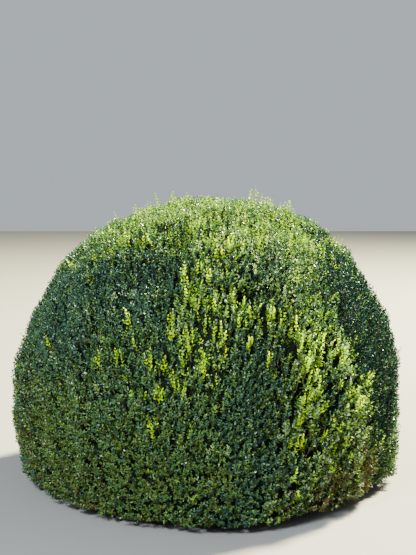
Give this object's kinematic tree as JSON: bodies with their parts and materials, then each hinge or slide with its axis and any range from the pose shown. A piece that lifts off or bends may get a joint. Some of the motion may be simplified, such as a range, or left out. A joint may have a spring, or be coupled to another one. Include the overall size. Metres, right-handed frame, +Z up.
{
  "type": "box topiary ball",
  "caption": "Large evergreen box shrub clipped to a squat ball, rooted in open ground, with a short hidden stem, boughs and a dense leafy surface.",
  "frame": {"origin": "middle of the flat cut under the stem, at ground level", "axes": "+Z up out of the ground, -Y towards the side that the picture shows, +X to that view's right"},
  "size_m": [2.1256, 2.1499, 1.5848],
  "materials": {
    "bark": "corky grey-brown bark, matt",
    "leaves": "small oval leaves, leathery and slightly glossy, bluish green with yellow-green new shoots"
  },
  "bodies": {
    "root": {"stem": "bark", "bough_top": "bark", "bough_right": "bark", "bough_back_right": "bark", "bough_back_left": "bark", "bough_left": "bark", "bough_front_left": "bark", "bough_front_right": "bark", "foliage_top": "leaves", "foliage_right": "leaves", "foliage_back_right": "leaves", "foliage_back_left": "leaves", "foliage_left": "leaves", "foliage_front_left": "leaves", "foliage_front_right": "leaves"}
  },
  "joints": []
}
